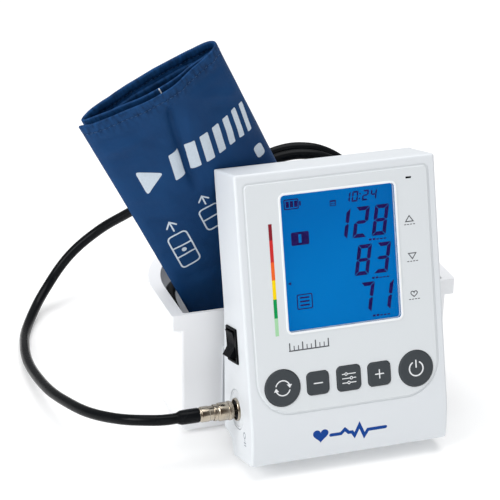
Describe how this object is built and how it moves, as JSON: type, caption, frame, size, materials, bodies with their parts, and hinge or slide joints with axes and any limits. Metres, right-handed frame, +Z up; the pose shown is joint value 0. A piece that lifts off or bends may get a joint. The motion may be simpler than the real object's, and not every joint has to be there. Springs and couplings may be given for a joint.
{
  "type": "automatic blood pressure monitor",
  "caption": "Tabletop automatic blood pressure monitor with a sloped blue display, push buttons, a side power switch, a rear storage basket, an air hose and a rolled arm cuff.",
  "frame": {"origin": "centre of the basket's flat underside, on the table", "axes": "+X to the right facing the display, +Y to the back, +Z up"},
  "size_m": [0.2812, 0.3023, 0.2738],
  "materials": {
    "housing": "fine satin, cool white",
    "housing_rear": "fine satin, cool white",
    "plate": "smooth, light grey",
    "window": "clear blue-tinted plastic window",
    "lcd": "blue negative display glass",
    "light_guide": "white light guide",
    "button": "dark grey, satin",
    "black_plastic": "black, fine texture",
    "grey_plastic": "light grey",
    "nickel": "turned, bright nickel",
    "steel": "plain steel",
    "rubber_black": "smooth black air hose",
    "rubber_grey": "soft silicone",
    "silicone": "translucent silicone",
    "board": "circuit board, green mask",
    "basket": "smooth white",
    "cloth": "woven navy nylon",
    "cell": "plain battery jacket",
    "motor_can": "drawn steel can"
  },
  "bodies": {
    "unit": {"front_housing": "housing", "rear_housing": "housing_rear", "faceplate": "plate", "display_window": "window", "lcd_panel": "lcd", "lcd_backlight": "light_guide", "lcd_frame": "grey_plastic", "keypad_mat": "rubber_grey", "dome_switches": "steel", "main_board": "board", "board_components": "black_plastic", "pressure_sensor": "black_plastic", "buzzer": "black_plastic", "pump_motor": "motor_can", "pump_head": "black_plastic", "exhaust_valve": "grey_plastic", "air_manifold": "grey_plastic", "internal_tubes": "silicone", "batteries": "cell", "battery_contacts": "steel", "switch_body": "black_plastic", "socket_flange": "grey_plastic", "air_socket": "black_plastic", "hose_plug": "nickel", "hose_sleeve": "rubber_black", "hose_lead": "rubber_black", "hose_loops": "rubber_black", "hose_tail": "rubber_black", "dc_jack": "black_plastic", "status_window": "black_plastic", "housing_screws": "steel", "unit_feet": "rubber_black", "basket": "basket", "basket_bracket": "grey_plastic", "bracket_screws": "steel", "cuff": "cloth", "cuff_bladder": "rubber_black", "cuff_port": "black_plastic"},
    "mode_key": {"button_mode": "button"},
    "minus_key": {"button_minus": "button"},
    "set_key": {"button_set": "button"},
    "plus_key": {"button_plus": "button"},
    "start_key": {"button_start": "button"},
    "rocker": {"power_rocker": "black_plastic"},
    "door": {"battery_door": "housing_rear"},
    "crank": {"pump_shaft": "steel"},
    "plunger": {"valve_plunger": "steel"},
    "collar": {"plug_collar": "nickel"}
  },
  "joints": [
    {"name": "mode_press", "type": "slide", "parent": "unit", "child": "mode_key", "axis": [0, 0.9617, -0.274], "range_m": [0, 0.0009], "stiffness_N_per_m": 900, "springref_m": -0.0012},
    {"name": "minus_press", "type": "slide", "parent": "unit", "child": "minus_key", "axis": [0, 0.9617, -0.274], "range_m": [0, 0.0009], "stiffness_N_per_m": 900, "springref_m": -0.0012},
    {"name": "set_press", "type": "slide", "parent": "unit", "child": "set_key", "axis": [0, 0.9617, -0.274], "range_m": [0, 0.0009], "stiffness_N_per_m": 900, "springref_m": -0.0012},
    {"name": "plus_press", "type": "slide", "parent": "unit", "child": "plus_key", "axis": [0, 0.9617, -0.274], "range_m": [0, 0.0009], "stiffness_N_per_m": 900, "springref_m": -0.0012},
    {"name": "start_press", "type": "slide", "parent": "unit", "child": "start_key", "axis": [0, 0.9617, -0.274], "range_m": [0, 0.0009], "stiffness_N_per_m": 900, "springref_m": -0.0012},
    {"name": "rocker_tilt", "type": "hinge", "parent": "unit", "child": "rocker", "pos_m": [-0.067, -0.08637, 0.08126], "axis": [0, 0.9617, -0.274], "range_deg": [-20, 0]},
    {"name": "door_swing", "type": "hinge", "parent": "unit", "child": "door", "pos_m": [0.0642, -0.05289, 0.15022], "axis": [0, -0.274, -0.9617], "range_deg": [0, 85]},
    {"name": "crank_turn", "type": "hinge", "parent": "unit", "child": "crank", "pos_m": [0, -0.08595, 0.07178], "axis": [1, 0, 0], "continuous": true},
    {"name": "plunger_slide", "type": "slide", "parent": "unit", "child": "plunger", "axis": [0, -0.274, -0.9617], "range_m": [0, 0.0008], "stiffness_N_per_m": 800},
    {"name": "collar_slide", "type": "slide", "parent": "unit", "child": "collar", "axis": [-1, 0, 0], "range_m": [0, 0.0025], "stiffness_N_per_m": 400}
  ]
}
